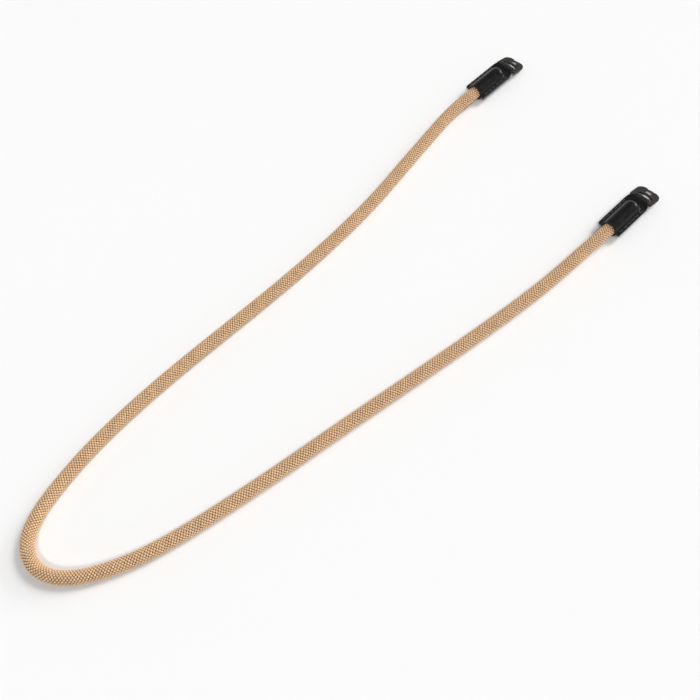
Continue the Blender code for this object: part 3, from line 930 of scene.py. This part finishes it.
class STRAP_OT_guards(bpy.types.Operator):
    """Cut the leather guard that lies on each ring"""

    bl_idname = "strap.guards"
    bl_label = "Lug guards"

    # Rounding of the cut edges and of the slot's near corners, and the points across a flat
    EDGE = 0.0003
    SLOT_CORNER = 0.0005
    FLAT_COLUMNS = 9

    def outlines(self):
        """The guard's outline and its slot as two lines of matching points, round the whole guard.

        Both run down the right side from the notch's floor to the near edge, and up the left.
        """
        side = GUARD_WIDTH / 2
        near, far = GUARD_NEAR_CORNER, GUARD_FAR_CORNER
        inner, turn = NOTCH_WIDTH / 2, NOTCH_CORNER
        half = SLOT_LENGTH / 2
        bowed = (half, SLOT_CROWN - SLOT_SHOULDER)
        corner = self.SLOT_CORNER
        # A stretch of the outline, and the angles in degrees of the slot's crown that go with it
        pairs = (
            (np.linspace((0, NOTCH_FLOOR), (inner - turn, NOTCH_FLOOR), 5), (90.0, 74.0)),
            (bow((inner - turn, NOTCH_FLOOR + turn), turn, -90, 0, 6), (74.0, 66.0)),
            (np.linspace((inner, NOTCH_FLOOR + turn), (inner, GUARD_FAR - turn), 8), (66.0, 62.0)),
            (bow((inner + turn, GUARD_FAR - turn), turn, 180, 90, 6), (62.0, 57.0)),
            (np.linspace((inner + turn, GUARD_FAR), (side - far, GUARD_FAR), 4), (57.0, 52.0)),
            (bow((side - far, GUARD_FAR - far), far, 90, 0, 12), (52.0, 14.0)),
            (np.linspace((side, GUARD_FAR - far), (side, SLOT_SHOULDER), 6), (14.0, 0.0)),
        )
        outline = [line[:-1] for line, _ in pairs]
        slot = [bow((0, SLOT_SHOULDER), bowed, a, b, len(line))[:-1] for line, (a, b) in pairs]
        outline += [
            np.linspace((side, SLOT_SHOULDER), (side, GUARD_NEAR + near), 7)[:-1],
            bow((side - near, GUARD_NEAR + near), near, 0, -90, 6)[:-1],
            np.linspace((side - near, GUARD_NEAR), (0, GUARD_NEAR), 12),
        ]
        slot += [
            np.linspace((half, SLOT_SHOULDER), (half, SLOT_STRAIGHT + corner), 7)[:-1],
            bow((half - corner, SLOT_STRAIGHT + corner), corner, 0, -90, 6)[:-1],
            np.linspace((half - corner, SLOT_STRAIGHT), (0, SLOT_STRAIGHT), 12),
        ]
        halves = np.concatenate(outline), np.concatenate(slot)
        return [np.concatenate([half, half[-2:0:-1] * (-1, 1)]) for half in halves]

    def execute(self, context):
        tab = context.scene.strap_tab
        leather = leather_material(
            "strap_guard_leather", tab.guard, tab.cut_edge, roughness=0.5, grain=1500.0)
        edge = self.EDGE
        outline, slot = self.outlines()

        def outward(line):
            """Unit normals of a closed clockwise line, a quarter turn left of its way."""
            way = np.roll(line, -1, axis=0) - np.roll(line, 1, axis=0)
            way /= np.linalg.norm(way, axis=1, keepdims=True)
            return np.stack([-way[:, 1], way[:, 0]], -1)

        outer_way, slot_way = outward(outline), outward(slot)
        outer_in, slot_in = outline - edge * outer_way, slot + edge * slot_way
        # The section, carried round the slot: top, round outer edge, bottom, round slot edge
        flats = self.FLAT_COLUMNS
        share = np.linspace(0.0, 1.0, flats)
        swing = np.radians(np.linspace(90.0, -90.0, 9)[1:-1])
        round_x, round_z = np.cos(swing), np.sin(swing)
        half = LEATHER / 2
        flat = slot_in[:, None] + (outer_in - slot_in)[:, None] * share[:, None]
        lift = np.sign(round_z) * (half - edge) + edge * round_z
        rim_out = outer_in[:, None] + edge * round_x[:, None] * outer_way[:, None]
        rim_slot = slot_in[:, None] - edge * round_x[::-1, None] * slot_way[:, None]
        plan = np.concatenate([flat, rim_out, flat[:, ::-1], rim_slot], axis=1)
        height = np.concatenate([np.full(flats, half), lift, np.full(flats, -half), lift[::-1]])
        worn_and_highlight = np.tile(np.repeat((0.0, 1.0), (flats, len(swing))), 2)
        worn_and_highlight = np.broadcast_to(worn_and_highlight, plan.shape[:2])
        for end in ENDS:
            points = on_lean(end, plan[..., 0], plan[..., 1], GUARD_BOTTOM + half + height)
            rows, loop = points.shape[:2]
            piece = make_piece(
                f"leather_guard_{end}", points.reshape(-1, 3), grid_quads(rows, loop, True),
                values={"edge": worn_and_highlight, "dent_and_shade": np.zeros_like(worn_and_highlight)})
            dress(piece, leather, "guard_leather", f"lug_guard_{end}")
        return {"FINISHED"}


class STRAP_OT_rings(bpy.types.Operator):
    """Coil a split ring into each fold"""

    bl_idname = "strap.rings"
    bl_label = "Split rings"

    # Rounding of the strip's corners, the angle in degrees between its points, and rows round it
    CORNER = 0.0002
    POINT_EVERY = 22.5
    ROWS = 321

    def execute(self, context):
        steel = steel_material(context.scene.strap_tab.steel)
        half_step = RING_STEP_SPAN / 2
        turn = np.linspace(half_step, 4 * math.pi - half_step, self.ROWS)
        level = smooth_step((turn - math.tau + half_step) / RING_STEP_SPAN)
        angle = math.pi / 2 - RING_STEP_AT + turn
        bottom = RING_BOTTOM + level * (RING_COIL + RING_COIL_GAP)
        # The strip's section is a box with round corners, carried twice round and up one step
        soft = self.CORNER
        corner = np.radians(np.arange(0, 360, self.POINT_EVERY) + self.POINT_EVERY / 2)
        wide = np.sign(np.cos(corner)) * (RING_WIRE / 2 - soft) + soft * np.cos(corner)
        high = np.sign(np.sin(corner)) * (RING_COIL / 2 - soft) + soft * np.sin(corner)
        radius = RING_RADIUS - RING_WIRE / 2 + wide
        height = bottom[:, None] + RING_COIL / 2 + high
        x = radius * np.cos(angle)[:, None]
        s = RING_MIDDLE + radius * np.sin(angle)[:, None]
        rows, sides = x.shape
        for end in ENDS:
            piece = make_piece(
                f"steel_ring_{end}", on_lean(end, x, s, height).reshape(-1, 3),
                grid_quads(rows, sides), end_caps(rows, sides), sharp=math.radians(50))
            dress(piece, steel, "dark_steel", f"split_ring_{end}")
        return {"FINISHED"}


class STRAP_OT_stage(bpy.types.Operator):
    """Set the camera, the pale floor and the soft lights"""

    bl_idname = "strap.stage"
    bl_label = "Stage"

    def camera(self, stage):
        """A camera that looks down along its heading, rolled about its view."""
        data = bpy.data.cameras.new("camera")
        data.lens = stage.lens
        data.sensor_width = 36.0
        data.clip_start = 0.01
        flat = Vector((-math.sin(stage.heading), math.cos(stage.heading), 0.0))
        ahead = flat * math.cos(stage.elevation) - Vector((0.0, 0.0, math.sin(stage.elevation)))
        right = flat.cross(Vector((0.0, 0.0, 1.0)))
        up = right.cross(ahead)
        level = right * math.cos(stage.roll) - up * math.sin(stage.roll)
        upright = up * math.cos(stage.roll) + right * math.sin(stage.roll)
        turned = Matrix((level, upright, -ahead)).transposed().to_4x4()
        camera = add_object("camera", data)
        camera.matrix_world = Matrix.Translation(stage.place) @ turned
        bpy.context.scene.camera = camera

    def lamp(self, name, towards, strength, spread, mirrored):
        """A broad light from far away, out of a direction and across an angle.

        One that isn't mirrored lights the surfaces without a highlight, as a large cloth would.
        """
        data = bpy.data.lights.new(name, "SUN")
        data.energy = strength
        data.angle = math.radians(spread)
        lamp = add_object(name, data)
        lamp.rotation_euler = Vector(towards).to_track_quat("Z", "Y").to_euler()
        lamp.location = Vector(towards) * 2
        lamp.visible_glossy = mirrored

    def execute(self, context):
        stage = context.scene.strap_stage
        self.camera(stage)
        for settings in LAMPS:
            self.lamp(*settings)
        world = bpy.data.worlds.new("studio")
        world.use_nodes = True
        # A pale room: bright near the horizon, dimmer overhead
        tree = world.node_tree
        sky = tree.nodes["Background"].inputs
        sky["Color"].default_value = tint((1.0, 1.0, 1.0))
        way = node_of(tree, "ShaderNodeTexCoord").outputs["Generated"]
        rise = node_of(tree, "ShaderNodeSeparateXYZ", Vector=way).outputs["Z"]
        tree.links.new(ramp_of(tree, rise, (0.0, 0.6), (0.45, 0.33)), sky["Strength"])
        context.scene.world = world
        context.scene.view_settings.view_transform = "Standard"

        mesh = bpy.data.meshes.new("floor")
        corners = FLOOR_REACH * np.array(((-1, -1, 0), (1, -1, 0), (1, 1, 0), (-1, 1, 0)))
        mesh.from_pydata(corners, [], [(0, 1, 2, 3)])
        mesh.materials.append(floor_material(stage.floor))
        floor = add_object("floor", mesh)
        floor.location.z = -FLOOR_DROP
        return {"FINISHED"}


class STRAP_PT_panel(bpy.types.Panel):
    """Lists the pieces and their settings"""

    bl_label = "Rope strap"
    bl_idname = "STRAP_PT_panel"
    bl_space_type = "VIEW_3D"
    bl_region_type = "UI"
    bl_category = "Strap"

    def draw(self, context):
        scene = context.scene
        for settings in (scene.strap_rope, scene.strap_tab, scene.strap_stage):
            box = self.layout.box()
            for key in settings.__annotations__:
                box.prop(settings, key)
        for operator in STEPS:
            self.layout.operator(operator.bl_idname)


STEPS = (
    STRAP_OT_stage, STRAP_OT_core, STRAP_OT_braid, STRAP_OT_tabs, STRAP_OT_stitches,
    STRAP_OT_guards, STRAP_OT_rings,
)
SETTINGS = (
    ("strap_rope", RopeSettings), ("strap_tab", TabSettings), ("strap_stage", StageSettings))


def register():
    """Add the settings, the operators and the panel."""
    for name, settings in SETTINGS:
        bpy.utils.register_class(settings)
        setattr(bpy.types.Scene, name, PointerProperty(type=settings))
    for item in (*STEPS, STRAP_PT_panel):
        bpy.utils.register_class(item)


def unregister():
    """Take them away again."""
    for item in (STRAP_PT_panel, *reversed(STEPS)):
        bpy.utils.unregister_class(item)
    for name, settings in reversed(SETTINGS):
        delattr(bpy.types.Scene, name)
        bpy.utils.unregister_class(settings)


def main():
    """Build everything in order."""
    register()
    bpy.ops.strap.stage()
    bpy.ops.strap.core()
    bpy.ops.strap.braid()
    bpy.ops.strap.tabs()
    bpy.ops.strap.stitches()
    bpy.ops.strap.guards()
    bpy.ops.strap.rings()


if __name__ == "__main__":
    main()
